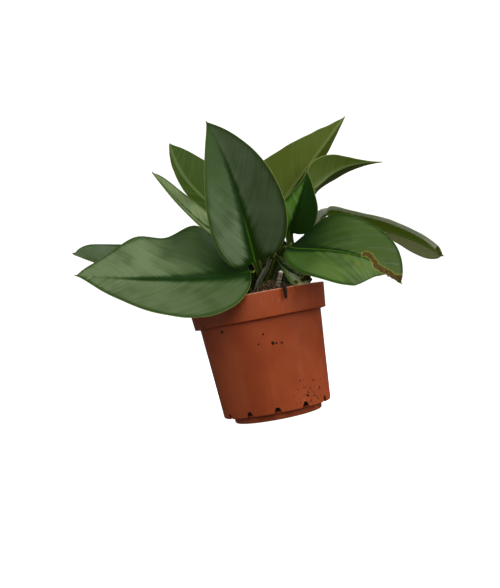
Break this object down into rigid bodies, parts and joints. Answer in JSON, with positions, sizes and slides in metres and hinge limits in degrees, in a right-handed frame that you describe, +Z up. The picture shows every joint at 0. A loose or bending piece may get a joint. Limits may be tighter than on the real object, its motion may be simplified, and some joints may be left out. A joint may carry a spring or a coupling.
{
  "type": "potted scindapsus plant",
  "caption": "Silvery-leaved climbing aroid rooted in potting soil in a thin terracotta-coloured plastic nursery pot; stands on its base.",
  "frame": {"origin": "centre of the pot's underside, on the surface that the pot stands on", "axes": "+Z up along the pot's axis; -Y towards the viewer of the picture; +X to the viewer's right"},
  "size_m": [0.3153, 0.2026, 0.262],
  "materials": {
    "pot": "satin moulded plastic, terracotta colour",
    "soil": "loose fibrous peat and bark",
    "leaf": "satin leaf, silvery grey-green over dark green",
    "young_leaf": "satin leaf, fresh green with a brown damaged tip",
    "stem": "smooth olive stem with pale rings",
    "dry_sheath": "dry, fibrous, dark with pale edges",
    "root": "rough, ringed, pale",
    "dark_root": "rough, dark brown"
  },
  "bodies": {
    "root": {"pot": "pot", "soil": "soil", "leaf_front_upright": "leaf", "leaf_front_left": "leaf", "leaf_far_left": "leaf", "leaf_upper_left": "leaf", "leaf_side_left": "leaf", "leaf_upper_right": "leaf", "leaf_right_out": "leaf", "leaf_inner_right": "leaf", "leaf_front_right": "young_leaf", "leaf_drooping_right": "leaf", "leaf_small_rim": "leaf", "leaf_back_left": "leaf", "leaf_back": "leaf", "stem_left": "stem", "stem_middle": "stem", "stem_right": "stem", "stem_back_right": "stem", "stem_front": "stem", "dry_sheath": "dry_sheath", "root_stub": "root", "hanging_root": "dark_root"}
  },
  "joints": []
}
